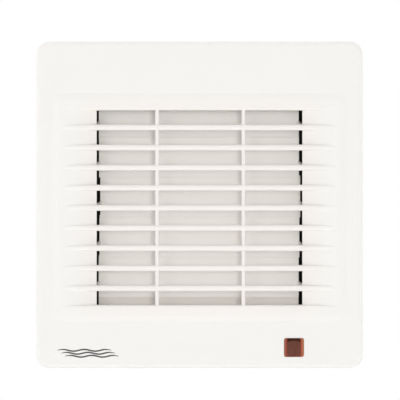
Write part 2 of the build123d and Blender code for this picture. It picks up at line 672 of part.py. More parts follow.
# ---------------------------------------------------------------- chassis
with BuildPart() as chassis:
    half = CHASSIS_SIZE / 2
    block((-half, half), (CHASSIS_FRONT, 0.0), (-half, half), CHASSIS_CORNER)
    inside = half - CHASSIS_WALL
    block(
        (-inside, inside),
        (CHASSIS_FRONT, -BACK_PLATE),
        (-inside, inside),
        CHASSIS_CORNER - CHASSIS_WALL,
        mode=Mode.SUBTRACT,
    )
    # A platform stands off the wall and carries the shutter, with a round hole for the spigot
    block((-DECK_HALF, DECK_HALF), (DECK_FRONT, -1.0), (DECK_BOTTOM, DECK_TOP), 3.0)
    block(
        (-DECK_HALF + 2.0, DECK_HALF - 2.0),
        (DECK_FRONT + DECK_THICK, 0.0),
        (DECK_BOTTOM + 2.0, DECK_TOP - 2.0),
        1.0,
        mode=Mode.SUBTRACT,
    )
    bore(DECK_FRONT, 0.0, DUCT_OUTER + 0.05, [(0, 0)])
    column(DECK_FRONT + 1.0, -1.0, BOSS_RADIUS, FRAME_EARS)
    bore(DECK_FRONT, -2.0, SCREW_PILOT, FRAME_EARS)
    # A notch in the platform's lower side lets the motor's lead through to the board
    block(
        (-LEAD_SLOT / 2, LEAD_SLOT / 2),
        (DECK_FRONT + DECK_THICK + 0.1, -2.6),
        (DECK_BOTTOM - 0.1, DECK_BOTTOM + 2.1),
        mode=Mode.SUBTRACT,
    )
    # Wall screws
    wall = WALL_SCREW_PITCH / 2
    wall_spots = [(-wall, wall), (wall, wall), (-wall, -wall), (wall, -wall)]
    column(WALL_SCREW_SEAT, -1.0, WALL_SCREW_BOSS, wall_spots)
    bore(WALL_SCREW_SEAT, 0.0, WALL_SCREW_HOLE, wall_spots)
    # Pegs for the fascia
    column(PEG_BASE_TOP, -1.0, PEG_BASE_RADIUS, PEG_SPOTS)
    column(PEG_TIP, PEG_BASE_TOP, PEG_RADIUS, PEG_SPOTS)
    peg_tips = [
        edge
        for edge in chassis.edges().filter_by(GeomType.CIRCLE)
        if abs(edge.center().Y - PEG_TIP) < 0.01
    ]
    chamfer(peg_tips, 0.6)
    # Standoffs for the control board
    column(BOARD_FRONT + BOARD_THICK, -1.0, BOSS_RADIUS, BOARD_SCREWS)
    bore(BOARD_FRONT + BOARD_THICK, -6.0, SCREW_PILOT, BOARD_SCREWS)
    # Snap saddles round the actuator
    saddle_depth = -ACTUATOR_Y - BACK_PLATE + 1.0
    for low in SADDLE_BOTTOMS:
        with BuildSketch(Plane.XY.offset(low)):
            with Locations((ACTUATOR_X, ACTUATOR_Y + saddle_depth / 2)):
                Rectangle(2 * SADDLE_RADIUS, saddle_depth)
            with Locations((ACTUATOR_X, ACTUATOR_Y)):
                Circle(SADDLE_RADIUS)
                Circle(ACTUATOR_RADIUS + 0.05, mode=Mode.SUBTRACT)
            with Locations((ACTUATOR_X, ACTUATOR_Y - SADDLE_RADIUS)):
                Rectangle(SADDLE_MOUTH, SADDLE_RADIUS, mode=Mode.SUBTRACT)
        extrude(amount=SADDLE_HEIGHT)
    # The cable's entry with a recess for the grommet, the cord clamp's posts and the terminal seat
    cable = [(CABLE_X, CABLE_Z)]
    column(GROMMET_SEAT, -1.0, GROMMET_FLANGE + 1.6, cable)
    bore(GROMMET_SEAT, 0.0, GROMMET_NECK + 0.1, cable)
    bore(-GROMMET_RECESS, 0.0, GROMMET_FLANGE + 0.1, cable)
    column(CLAMP_SEAT, -1.0, CLAMP_POST, CLAMP_SPOTS)
    bore(CLAMP_SEAT, -3.0, SCREW_PILOT, CLAMP_SPOTS)
    for z in (TERMINAL_BOTTOM + 4.0, TERMINAL_TOP - 4.0):
        block((TERMINAL_LEFT + 1.0, TERMINAL_RIGHT - 1.0), (TERMINAL_BACK, -1.0), (z - 2.0, z + 2.0))
chassis.part.label = "chassis"
export_step(chassis.part, "parts/chassis.step")

# ---------------------------------------------------------------- duct spigot
# Bonded into the platform from behind by its flange; the fan sits in it
with BuildPart() as duct_spigot:
    column(DECK_FRONT, SPIGOT_END, DUCT_OUTER, [(0, 0)])
    flange_front = DECK_FRONT + DECK_THICK + 0.05
    column(flange_front, flange_front + SPIGOT_FLANGE_THICK, SPIGOT_FLANGE, [(0, 0)])
    bore(DECK_FRONT, SPIGOT_END, DUCT_BORE, [(0, 0)])
    mouth_edges = [
        edge
        for edge in duct_spigot.edges().filter_by(GeomType.CIRCLE)
        if abs(edge.radius - DUCT_BORE) < 0.01 and abs(edge.center().Y - DECK_FRONT) < 0.01
    ]
    fillet(mouth_edges, MOUTH_ROUND)
    # A ledge inside the duct stops the motor bracket, and a groove outside takes the seal
    with BuildSketch(facing(BRACKET_BACK + 2.0)):
        Circle(DUCT_BORE + 0.3)
        Circle(DUCT_BORE - LEDGE_HEIGHT, mode=Mode.SUBTRACT)
    extrude(amount=1.9)
    with BuildSketch(facing(SEAL_FRONT + SEAL_WIDTH)):
        Circle(DUCT_OUTER + 1.0)
        Circle(DUCT_OUTER - SEAL_GROOVE, mode=Mode.SUBTRACT)
    extrude(amount=SEAL_WIDTH, mode=Mode.SUBTRACT)
    # A slot underneath lets the motor's lead out
    block(
        (-LEAD_SLOT / 2, LEAD_SLOT / 2),
        (flange_front, LEAD_SLOT_BACK),
        (-DUCT_OUTER - 0.8, -DUCT_BORE + 0.7),
        mode=Mode.SUBTRACT,
    )
duct_spigot.part.label = "duct_spigot"
export_step(duct_spigot.part, "parts/duct_spigot.step")

# ---------------------------------------------------------------- spigot seal
with BuildPart() as spigot_seal:
    with BuildSketch(facing(SEAL_FRONT + SEAL_WIDTH - 0.1)):
        Circle(FIT_RADIUS)
        Circle(DUCT_OUTER - SEAL_GROOVE + 0.02, mode=Mode.SUBTRACT)
    extrude(amount=SEAL_WIDTH - 0.2)
spigot_seal.part.label = "spigot_seal"
export_step(spigot_seal.part, "parts/spigot_seal.step")

# ---------------------------------------------------------------- motor bracket
motor_screw_spots = [
    (MOTOR_SCREW_CIRCLE * cos(radians(angle)), MOTOR_SCREW_CIRCLE * sin(radians(angle)))
    for angle in (30, 150, 270)
]
plate_back = BRACKET_PLATE + BRACKET_PLATE_THICK
with BuildPart() as motor_bracket:
    with BuildSketch(facing(BRACKET_BACK)):
        Circle(DUCT_BORE - 0.05)
        Circle(DUCT_BORE - BRACKET_RING, mode=Mode.SUBTRACT)
    extrude(amount=BRACKET_BACK - BRACKET_FRONT)
    spoke_inner = BRACKET_PLATE_RADIUS - 1.5
    spoke_outer = DUCT_BORE - BRACKET_RING / 2
    for index in range(BRACKET_SPOKES):
        angle = index * 360 / BRACKET_SPOKES + 270
        with BuildSketch(facing(BRACKET_BACK - 1.0)):
            with Locations(Location((0, 0), angle)):
                with Locations(((spoke_inner + spoke_outer) / 2, 0)):
                    Rectangle(spoke_outer - spoke_inner, SPOKE_WIDTH)
        extrude(amount=BRACKET_BACK - 1.0 - BRACKET_PLATE)
    column(BRACKET_PLATE, plate_back, BRACKET_PLATE_RADIUS, [(0, 0)])
    bore(BRACKET_PLATE, plate_back, SCREW_CLEARANCE, motor_screw_spots)
    bore(BRACKET_PLATE, plate_back, BEARING_RADIUS, [(0, 0)])
    block(
        (-LEAD_SLOT / 2, LEAD_SLOT / 2),
        (BRACKET_FRONT, BRACKET_PLATE - 0.02),
        (-DUCT_BORE, -DUCT_BORE + BRACKET_RING + 0.2),
        mode=Mode.SUBTRACT,
    )
motor_bracket.part.label = "motor_bracket"
export_step(motor_bracket.part, "parts/motor_bracket.step")

# ---------------------------------------------------------------- motor base with its bearing tube
with BuildPart() as motor_base:
    column(MOTOR_BASE_FRONT, BRACKET_PLATE, MOTOR_BASE_RADIUS, [(0, 0)])
    column(TUBE_FRONT, MOTOR_BASE_FRONT, TUBE_OUTER, [(0, 0)])
    bore(TUBE_FRONT, BRACKET_PLATE, BEARING_RADIUS, [(0, 0)])
    bore(MOTOR_BASE_FRONT, BRACKET_PLATE, SCREW_PILOT, motor_screw_spots)
motor_base.part.label = "motor_base"
export_step(motor_base.part, "parts/motor_base.step")

with BuildPart() as motor_screws:
    column(MOTOR_BASE_FRONT + 0.2, plate_back, SCREW_SHANK, motor_screw_spots)
    column(plate_back, plate_back + SCREW_HEAD_HEIGHT, SCREW_HEAD, motor_screw_spots)
motor_screws.part.label = "motor_screws"
export_step(motor_screws.part, "parts/motor_screws.step")

with BuildPart() as motor_bearings:
    for front in BEARING_FRONTS:
        with BuildSketch(facing(front + BEARING_LENGTH)):
            Circle(BEARING_RADIUS - 0.02)
            Circle(SHAFT_RADIUS + 0.05, mode=Mode.SUBTRACT)
        extrude(amount=BEARING_LENGTH)
motor_bearings.part.label = "motor_bearings"
export_step(motor_bearings.part, "parts/motor_bearings.step")

with BuildPart() as motor_shaft:
    column(CUP_FRONT, SHAFT_BACK, SHAFT_RADIUS, [(0, 0)])
motor_shaft.part.label = "motor_shaft"
export_step(motor_shaft.part, "parts/motor_shaft.step")

# ---------------------------------------------------------------- stator
with BuildPart() as stator_core:
    with BuildSketch(facing(STATOR_BACK)):
        Circle(STATOR_RADIUS)
        with PolarLocations(11.0, STATOR_TEETH, start_angle=30):
            SlotCenterToCenter(3.6, 3.4, mode=Mode.SUBTRACT)
        with PolarLocations(STATOR_RADIUS, STATOR_TEETH, start_angle=30):
            Rectangle(4.0, 1.2, mode=Mode.SUBTRACT)
        Circle(TUBE_OUTER + 0.05, mode=Mode.SUBTRACT)
    extrude(amount=STATOR_BACK - STATOR_FRONT)
stator_core.part.label = "stator_core"
export_step(stator_core.part, "parts/stator_core.step")

# Windings over the ends of the teeth, as one ring of bundles on each side of the core
with BuildPart() as stator_coils:
    for front, back in WINDING_ENDS:
        with BuildSketch(facing(back)):
            with PolarLocations(10.6, STATOR_TEETH):
                RectangleRounded(5.6, 7.0, 1.2)
        extrude(amount=back - front)
stator_coils.part.label = "stator_coils"
export_step(stator_coils.part, "parts/stator_coils.step")

with BuildPart() as motor_board:
    with BuildSketch(facing(MOTOR_BOARD_BACK)):
        Circle(MOTOR_BOARD_RADIUS)
        Circle(TUBE_OUTER + 0.2, mode=Mode.SUBTRACT)
    extrude(amount=MOTOR_BOARD_THICK)
    # The driver chip
    chip_seat = MOTOR_BOARD_BACK - MOTOR_BOARD_THICK
    block((-4.0, 4.0), (chip_seat - 0.8, chip_seat + 0.1), (9.5, 12.5))
motor_board.part.label = "motor_board"
export_step(motor_board.part, "parts/motor_board.step")

# ---------------------------------------------------------------- rotor
with BuildPart() as rotor_cup:
    column(CUP_FRONT, CUP_BACK, CUP_OUTER, [(0, 0)])
    bore(CUP_FRONT + CUP_FLOOR, CUP_BACK, CUP_INNER, [(0, 0)])
    column(CUP_FRONT + CUP_FLOOR - 0.2, CUP_HUB_BACK, CUP_HUB_RADIUS, [(0, 0)])
    bore(CUP_FRONT, CUP_HUB_BACK, SHAFT_RADIUS + PRESSED, [(0, 0)])
rotor_cup.part.label = "rotor_cup"
export_step(rotor_cup.part, "parts/rotor_cup.step")

with BuildPart() as rotor_magnet:
    with BuildSketch(facing(MAGNET_BACK)):
        Circle(CUP_INNER - 0.02)
        Circle(MAGNET_INNER, mode=Mode.SUBTRACT)
    extrude(amount=MAGNET_LENGTH)
rotor_magnet.part.label = "rotor_magnet"
export_step(rotor_magnet.part, "parts/rotor_magnet.step")

# ---------------------------------------------------------------- impeller
# One twisted blade lofted outwards along X; its ends are trimmed to the hub and the tip circle
with BuildPart() as impeller_blade:
    for radius, chord, thick, angle in FAN_SECTIONS:
        section = Plane(origin=(radius, FAN_MIDDLE, 0), x_dir=(0, 1, 0), z_dir=(1, 0, 0))
        with BuildSketch(section):
            with Locations(Location((0, 0), 90 - angle)):
                SlotOverall(chord, thick)
    loft()

with BuildPart() as impeller:
    for index in range(IMPELLER_BLADES):
        add(impeller_blade.part.rotate(Axis.Y, index * 360 / IMPELLER_BLADES))
    with BuildSketch(facing(HUB_BACK)):
        Circle(TIP_RADIUS)
    extrude(amount=HUB_BACK, mode=Mode.INTERSECT)
    column(HUB_FRONT, HUB_BACK, HUB_RADIUS, [(0, 0)])
    fillet(impeller.faces().filter_by(Plane.XZ).sort_by(Axis.Y)[0].edges(), HUB_ROUND)
    bore(CUP_FRONT - 0.02, HUB_BACK, CUP_OUTER + 0.02, [(0, 0)])
impeller.part.label = "impeller"
export_step(impeller.part, "parts/impeller.step")

# ---------------------------------------------------------------- control board
with BuildPart() as control_board:
    board_back = BOARD_FRONT + BOARD_THICK
    block(
        (BOARD_LEFT, BOARD_RIGHT),
        (BOARD_FRONT, board_back),
        (BOARD_BOTTOM, BOARD_TOP),
        1.0,
    )
    bore(BOARD_FRONT, board_back, SCREW_CLEARANCE, BOARD_SCREWS)
    bore(BOARD_FRONT, board_back, 0.4, lamp_leads)
control_board.part.label = "control_board"
export_step(control_board.part, "parts/control_board.step")

with BuildPart() as board_screws:
    screws(BOARD_FRONT, SCREW_HEAD, SCREW_HEAD_HEIGHT, SCREW_SHANK, 8.0, BOARD_SCREWS)
board_screws.part.label = "board_screws"
export_step(board_screws.part, "parts/board_screws.step")

with BuildPart() as power_transformer:
    core_front = BOARD_FRONT - 11.0
    block((-27.0, -11.0), (core_front, BOARD_FRONT), (-72.0, -59.0), 0.8)
    block((-24.0, -14.0), (core_front - 0.8, core_front), (-69.5, -61.5), 0.8)
power_transformer.part.label = "power_transformer"
export_step(power_transformer.part, "parts/power_transformer.step")

with BuildPart() as smoothing_capacitor:
    column(BOARD_FRONT - 11.5, BOARD_FRONT, 4.0, [(-3.0, BOARD_MIDDLE)])
    fillet(smoothing_capacitor.edges().group_by(Axis.Y)[0], 0.5)
smoothing_capacitor.part.label = "smoothing_capacitor"
export_step(smoothing_capacitor.part, "parts/smoothing_capacitor.step")

with BuildPart() as relay:
    block((6.0, 25.0), (BOARD_FRONT - 10.0, BOARD_FRONT), (-71.0, -61.0), 0.6)
relay.part.label = "relay"
export_step(relay.part, "parts/relay.step")

# Two headers: mains at the left end, actuator at the right
with BuildPart() as board_connector:
    block((-39.0, -29.0), (BOARD_FRONT - 6.5, BOARD_FRONT), (-73.2, -69.0), 0.4)
    block((34.0, 40.0), (BOARD_FRONT - 7.0, BOARD_FRONT), (-66.0, -59.0), 0.4)
    block((35.0, 39.0), (BOARD_FRONT - 7.0, BOARD_FRONT - 1.5), (-65.0, -60.0), mode=Mode.SUBTRACT)
board_connector.part.label = "board_connector"
export_step(board_connector.part, "parts/board_connector.step")

# ---------------------------------------------------------------- mains terminals and cord anchorage
with BuildPart() as terminal_block:
    across = (TERMINAL_LEFT, TERMINAL_RIGHT)
    block(across, (TERMINAL_FRONT, TERMINAL_BACK), (TERMINAL_BOTTOM, TERMINAL_TOP), 1.0)
    for z in (-11.0, 1.0):
        block(across, (TERMINAL_FRONT - 3.0, TERMINAL_FRONT), (z - 0.8, z + 0.8))
    bore(TERMINAL_FRONT, TERMINAL_SEAT + 2.5, TERMINAL_WELL, TERMINAL_SPOTS)
terminal_block.part.label = "terminal_block"
export_step(terminal_block.part, "parts/terminal_block.step")

with BuildPart() as terminal_screws:
    screws(TERMINAL_SEAT, 2.0, 1.6, SCREW_SHANK, 2.3, TERMINAL_SPOTS)
terminal_screws.part.label = "terminal_screws"
export_step(terminal_screws.part, "parts/terminal_screws.step")

with BuildPart() as cord_clamp:
    clamp_left, clamp_z = CLAMP_SPOTS[0]
    clamp_right = CLAMP_SPOTS[1][0]
    block(
        (clamp_left - 3.5, clamp_right + 3.0),
        (CLAMP_SEAT - CLAMP_THICK, CLAMP_SEAT),
        (clamp_z - 3.0, clamp_z + 3.0),
        1.5,
    )
    bore(CLAMP_SEAT - CLAMP_THICK, CLAMP_SEAT, SCREW_CLEARANCE, CLAMP_SPOTS)
cord_clamp.part.label = "cord_clamp"
export_step(cord_clamp.part, "parts/cord_clamp.step")

with BuildPart() as cord_clamp_screws:
    screws(CLAMP_SEAT - CLAMP_THICK, SCREW_HEAD, SCREW_HEAD_HEIGHT, SCREW_SHANK, 7.0, CLAMP_SPOTS)
cord_clamp_screws.part.label = "cord_clamp_screws"
export_step(cord_clamp_screws.part, "parts/cord_clamp_screws.step")

with BuildPart() as cable_grommet:
    column(-GROMMET_RECESS + 0.05, -0.05, GROMMET_FLANGE, cable)
    column(GROMMET_SEAT - 0.05, -GROMMET_RECESS + 0.05, GROMMET_NECK, cable)
    column(GROMMET_SEAT - GROMMET_RECESS, GROMMET_SEAT - 0.05, GROMMET_FLANGE - 0.4, cable)
    bore(GROMMET_SEAT - GROMMET_RECESS, -0.05, GROMMET_BORE, cable)
cable_grommet.part.label = "cable_grommet"
export_step(cable_grommet.part, "parts/cable_grommet.step")

with BuildPart() as frame_screws:
    seat = DECK_FRONT - FRAME_EAR_THICK
    screws(seat, SCREW_HEAD, SCREW_HEAD_HEIGHT, SCREW_SHANK, 8.0, FRAME_EARS)
frame_screws.part.label = "frame_screws"
export_step(frame_screws.part, "parts/frame_screws.step")

# ---------------------------------------------------------------- wall tube
with BuildPart() as wall_tube:
    with BuildSketch(facing(TUBE_LENGTH)):
        Circle(TUBE_RADIUS)
        Circle(TUBE_BORE, mode=Mode.SUBTRACT)
    extrude(amount=TUBE_LENGTH)
    bore(TUBE_LENGTH - SOCKET_DEPTH, TUBE_LENGTH, SOCKET_BORE, [(0, 0)])
wall_tube.part.label = "wall_tube"
export_step(wall_tube.part, "parts/wall_tube.step")

# ---------------------------------------------------------------- filter
with BuildPart() as filter_frame:
    with BuildSketch(facing(FILTER_BACK)):
        Circle(FIT_RADIUS)
        Circle(FILTER_OPENING, mode=Mode.SUBTRACT)
    extrude(amount=FILTER_BACK - FILTER_FRONT)
    with BuildSketch(facing(FILTER_BACK)):
        Circle(FILTER_OPENING / 2 + RIB_WIDTH / 2)
        Circle(FILTER_OPENING / 2 - RIB_WIDTH / 2, mode=Mode.SUBTRACT)
        for angle in (0, 60, 120):
            with Locations(Location((0, 0), angle)):
                Rectangle(2 * FILTER_OPENING + 1.0, RIB_WIDTH)
    extrude(amount=RIB_WIDTH)
filter_frame.part.label = "filter_frame"
export_step(filter_frame.part, "parts/filter_frame.step")

with BuildPart() as filter_foam:
    foam_back = FILTER_BACK - RIB_WIDTH - 0.1
    column(FILTER_FRONT + 0.4, foam_back, FILTER_OPENING - 0.1, [(0, 0)])
filter_foam.part.label = "filter_foam"
export_step(filter_foam.part, "parts/filter_foam.step")

# ---------------------------------------------------------------- heat store
steps = range(-8, 9)
channels = [
    (column_step * CHANNEL_PITCH, row_step * CHANNEL_PITCH)
    for column_step in steps
    for row_step in steps
    if (abs(column_step) + 0.5) ** 2 + (abs(row_step) + 0.5) ** 2 < (CHANNEL_LIMIT / CHANNEL_PITCH) ** 2
]
with BuildPart() as regenerator_core:
    with BuildSketch(facing(CORE_BACK)):
        Circle(CORE_RADIUS)
        with Locations(*channels):
            Rectangle(CHANNEL, CHANNEL, mode=Mode.SUBTRACT)
    extrude(amount=CORE_BACK - CORE_FRONT)
regenerator_core.part.label = "regenerator_core"
export_step(regenerator_core.part, "parts/regenerator_core.step")

with BuildPart() as core_sleeve:
    with BuildSketch(facing(CORE_BACK)):
        Circle(FIT_RADIUS)
        Circle(CORE_RADIUS + 0.05, mode=Mode.SUBTRACT)
    extrude(amount=CORE_BACK - CORE_FRONT)
core_sleeve.part.label = "core_sleeve"
export_step(core_sleeve.part, "parts/core_sleeve.step")

with BuildPart() as outer_screen:
    with BuildSketch(facing(SCREEN_BACK)):
        Circle(FIT_RADIUS)
        Circle(SCREEN_OPENING, mode=Mode.SUBTRACT)
    extrude(amount=SCREEN_BACK - SCREEN_FRONT)
    with BuildSketch(facing(SCREEN_BACK)):
        for radius in SCREEN_RINGS:
            Circle(radius + RIB_WIDTH / 2)
            Circle(radius - RIB_WIDTH / 2, mode=Mode.SUBTRACT)
        for angle in (0, 45, 90, 135):
            with Locations(Location((0, 0), angle)):
                Rectangle(2 * SCREEN_OPENING + 1.0, RIB_WIDTH)
    extrude(amount=RIB_WIDTH)
outer_screen.part.label = "outer_screen"
export_step(outer_screen.part, "parts/outer_screen.step")

# ---------------------------------------------------------------- leads inside the unit
with BuildPart() as mains_leads:
    for start_x, start_z, board_y in ((-62.0, -50.0, -22.0), (-66.0, -48.0, -24.5)):
        lead(
            [
                (start_x, -10.0, -24.1),
                (start_x, -10.0, start_z),
                (start_x + 4.0, board_y, -71.1),
                (-39.1, board_y, -71.1),
            ],
            WIRE_RADIUS,
        )
mains_leads.part.label = "mains_leads"
export_step(mains_leads.part, "parts/mains_leads.step")

with BuildPart() as actuator_leads:
    for tab_x, wall_y, board_y in ((65.3, -6.0, -22.6), (69.3, -8.5, -24.8)):
        lead(
            [
                (tab_x, ACTUATOR_Y, ACTUATOR_TOP + 6.1),
                (tab_x, ACTUATOR_Y, ACTUATOR_TOP + 13.0),
                (74.3, wall_y, ACTUATOR_TOP + 13.0),
                (74.3, wall_y, -40.0),
                (61.5, wall_y - 3.0, -50.0),
                (60.0, board_y, -62.5),
                (40.1, board_y, -62.5),
            ],
            WIRE_RADIUS,
        )
actuator_leads.part.label = "actuator_leads"
export_step(actuator_leads.part, "parts/actuator_leads.step")

with BuildPart() as motor_lead:
    lead(
        [
            (0.0, 24.5, -16.1),
            (0.0, 24.5, -20.5),
            (0.0, 27.0, -24.0),
            (0.0, 27.0, MOTOR_LEAD_DROP),
            (0.0, -4.8, MOTOR_LEAD_DROP),
            (0.0, -4.8, -64.5),
            (0.0, BOARD_FRONT + BOARD_THICK + 0.05, -64.5),
        ],
        MOTOR_LEAD_RADIUS,
        1.6,
    )
motor_lead.part.label = "motor_lead"
export_step(motor_lead.part, "parts/motor_lead.step")
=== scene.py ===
import json
import math

import bmesh
import bpy
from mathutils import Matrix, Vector, noise


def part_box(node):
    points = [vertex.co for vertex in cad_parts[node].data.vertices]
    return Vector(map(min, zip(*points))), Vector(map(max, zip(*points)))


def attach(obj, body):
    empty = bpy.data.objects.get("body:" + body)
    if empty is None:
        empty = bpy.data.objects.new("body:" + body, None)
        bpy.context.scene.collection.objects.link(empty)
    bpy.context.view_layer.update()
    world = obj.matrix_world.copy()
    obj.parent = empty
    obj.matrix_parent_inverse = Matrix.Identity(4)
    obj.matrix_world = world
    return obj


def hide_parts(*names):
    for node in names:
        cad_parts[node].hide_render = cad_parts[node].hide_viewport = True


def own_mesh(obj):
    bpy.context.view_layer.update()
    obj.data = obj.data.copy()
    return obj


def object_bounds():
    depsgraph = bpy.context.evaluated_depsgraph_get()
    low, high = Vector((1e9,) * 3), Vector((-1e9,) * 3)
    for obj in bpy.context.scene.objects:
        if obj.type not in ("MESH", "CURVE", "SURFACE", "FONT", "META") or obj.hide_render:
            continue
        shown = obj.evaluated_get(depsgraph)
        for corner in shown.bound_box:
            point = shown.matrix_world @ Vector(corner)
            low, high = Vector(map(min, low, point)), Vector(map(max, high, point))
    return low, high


# Looks of the heat recovery unit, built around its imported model.
# Metres. X to the right seen from the room, Y into the wall, Z up.
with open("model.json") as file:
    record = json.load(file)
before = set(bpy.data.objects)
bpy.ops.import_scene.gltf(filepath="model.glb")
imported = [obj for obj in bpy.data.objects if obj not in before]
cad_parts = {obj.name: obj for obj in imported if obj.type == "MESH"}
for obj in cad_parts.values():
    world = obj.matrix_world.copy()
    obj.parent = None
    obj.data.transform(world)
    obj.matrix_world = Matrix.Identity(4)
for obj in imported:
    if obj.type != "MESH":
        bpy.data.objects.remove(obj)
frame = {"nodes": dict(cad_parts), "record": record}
cad_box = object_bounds()

MM = 0.001

# Camera: straight at the fascia from far away, so that its depth hardly shows
VIEW_WIDTH = 195.7 * MM
CAMERA_DISTANCE = 1.6
CAMERA_AIM = (0.2 * MM, 2.3 * MM)
SENSOR = 36.0

# Light: a white room, brighter behind the object, with a soft key from the upper left and a fill
# from the front. The room's two levels meet where a direction's Y lies within ROOM_TURN.
ROOM_SHOWN = 1.0
ROOM_BEHIND = 1.45
ROOM_BEFORE = 0.22
ROOM_TURN = (-0.6, -0.05)
KEY_PLACE = (-1.1, -1.6, 0.7)
KEY_SIZE = 0.8
KEY_POWER = 7.0
FILL_PLACE = (0.25, -1.8, 0.05)
FILL_SIZE = 0.8
FILL_POWER = 14.5
FLOOR_DROP = 0.17
FLOOR_HALF = 1.5

# The fascia's louvre window, and how far its warmer tone fades out beyond it
WINDOW_MIDDLE = -1.4 * MM
WINDOW_HALF = (53 * MM, 47 * MM)
WINDOW_FADE = 9 * MM

# The indicator's thin window within its solid amber sides. The window is painted dark as painted shade of
# the hollow behind it, with a curved band of painted shadow across its top
LENS_WINDOW_HALF = (3.35 * MM, 4.5 * MM)
LENS_WINDOW_SHIFT = (-0.1 * MM, 0.15 * MM)
LENS_ROUNDING = 1.3 * MM
LENS_FADE = 0.22 * MM
LENS_BOW = -45.0
# Where the painted shadow across the top of the lens window fades in
LENS_SHADOW_BAND = (2.7 * MM, 3.4 * MM)

# How far the fascia's raised pad stands in front of its plate
PAD_RAISE = 0.5 * MM

# Printed airflow mark on the fascia's plate
MARK_MIDDLE = (-54.6 * MM, -72.7 * MM)
MARK_LENGTH = 30.0 * MM
MARK_STROKE = 0.75 * MM
MARK_ROWS = (1.45 * MM, 0.0, -1.45 * MM)
MARK_WAVE = 0.42 * MM
MARK_WAVES = 2.5
MARK_STAGGER = 1.8 * MM
MARK_TAPER = 6
MARK_STEPS = 72
MARK_INK = 0.02 * MM

# Return spring
SPRING_TURNS = 8
SPRING_CLOSED_TURNS = 1.0
SPRING_WIRE = 0.35 * MM
SPRING_SIDES = 10
SPRING_STEPS = 28

# Foam pieces
PORE_SIZE = 1.3 * MM
PORE_DEPTH = 0.3 * MM
PAD_RIM = 0.6 * MM

# Where the two mains leads part: the live one is nearer the duct on the way down, and then nearer the
# wall along the board
PAIR_MIDDLE_X = -64 * MM
PAIR_MIDDLE_Y = -23.2 * MM
PAIR_TURN_Z = -50 * MM
PAIR_LEVEL_Z = -70 * MM
PAIR_SLOPE = 0.19

# The tape round the transformer, and the width of the sleeve's edge on the capacitor's top
TAPE_ENDS = (-24 * MM, -14 * MM)
SLEEVE_EDGE = 0.2 * MM


# ---------------------------------------------------------------- materials
class Surface:
    """A procedural material. Even values sit on the shader's own sockets, uneven ones are linked to it."""

    def __init__(self, name, **even):
        self.material = bpy.data.materials.new(name)
        self.material.use_nodes = True
        self.tree = self.material.node_tree
        self.shader = self.tree.nodes["Principled BSDF"]
        for key, value in even.items():
            self.shader.inputs[key.replace("_", " ")].default_value = value
        self.place = self.add("TexCoord").outputs["Object"]
        self.normal = None

    def add(self, kind, inputs=None, **settings):
        """Adds a node with its settings, and sets or links its inputs."""
        made = self.tree.nodes.new("ShaderNode" + kind)
        for key, value in settings.items():
            setattr(made, key, value)
        for key, value in (inputs or {}).items():
            if isinstance(value, bpy.types.NodeSocket):
                self.tree.links.new(value, made.inputs[key])
            else:
                made.inputs[key].default_value = value
        return made

    def math(self, operation, first, second=0.0):
        return self.add("Math", {0: first, 1: second}, operation=operation).outputs[0]

    def axis(self, name):
        """One coordinate of the point, in metres."""
        return self.add("SeparateXYZ", {0: self.place}).outputs[name]

    def scaled(self, size, stretch=(1, 1, 1)):
        """The point in units of size; stretch above 1 lengthens the pattern along that axis."""
        scale = [1 / (size * factor) for factor in stretch]
        return self.add("Mapping", {"Vector": self.place, "Scale": scale}).outputs[0]

    def clouds(self, size, stretch=(1, 1, 1), detail=2.0):
        inputs = {"Vector": self.scaled(size, stretch), "Scale": 1.0, "Detail": detail}
        return self.add("TexNoise", inputs).outputs[0]

    def cells(self, size, stretch=(1, 1, 1), feature="F1"):
        inputs = {"Vector": self.scaled(size, stretch), "Scale": 1.0}
        return self.add("TexVoronoi", inputs, feature=feature)

    def between(self, factor, low, high, start=0.3, end=0.7):
        """A number from low to high as factor goes from start to end."""
        inputs = {0: factor, 1: start, 2: end, 3: low, 4: high}
        return self.add("MapRange", inputs).outputs[0]

    def mixed(self, factor, first, second):
        """A colour from first to second as factor goes from 0 to 1."""
        inputs = {0: factor, 6: colour(first), 7: colour(second)}
        return self.add("Mix", inputs, data_type="RGBA").outputs[2]

    def feed(self, socket, value):
        self.tree.links.new(value, self.shader.inputs[socket])

    def relief(self, height, depth, strength=1.0):
        """Adds bumps of that depth in metres on top of earlier ones."""
        inputs = {"Height": height, "Distance": depth, "Strength": strength}
        if self.normal is not None:
            inputs["Normal"] = self.normal
        self.normal = self.add("Bump", inputs).outputs[0]
        self.feed("Normal", self.normal)


def colour(value):
    """Three numbers become a colour with full alpha; a socket stays as it is."""
    if isinstance(value, bpy.types.NodeSocket):
        return value
    return (*value, 1.0)


def darker(base, share):
    return tuple(channel * (1 - share) for channel in base)


def finish_moulding(made, gloss, depth=0.006 * MM):
    """Fine spark-eroded grain, slight sink waves and uneven gloss on a moulding."""
    made.feed("Roughness", made.between(made.clouds(6 * MM), *gloss))
    made.relief(made.clouds(0.35 * MM, detail=3.0), depth)
    made.relief(made.clouds(14 * MM), 0.02 * MM, 0.5)
    return made.material


def moulded(name, base, gloss=(0.42, 0.52), depth=0.006 * MM, mottle=0.025, **even):
    """Moulded plastic with faint flow clouds."""
    made = Surface(name, **even)
    made.feed("Base Color", made.mixed(made.clouds(45 * MM), darker(base, mottle), base))
    return finish_moulding(made, gloss, depth)


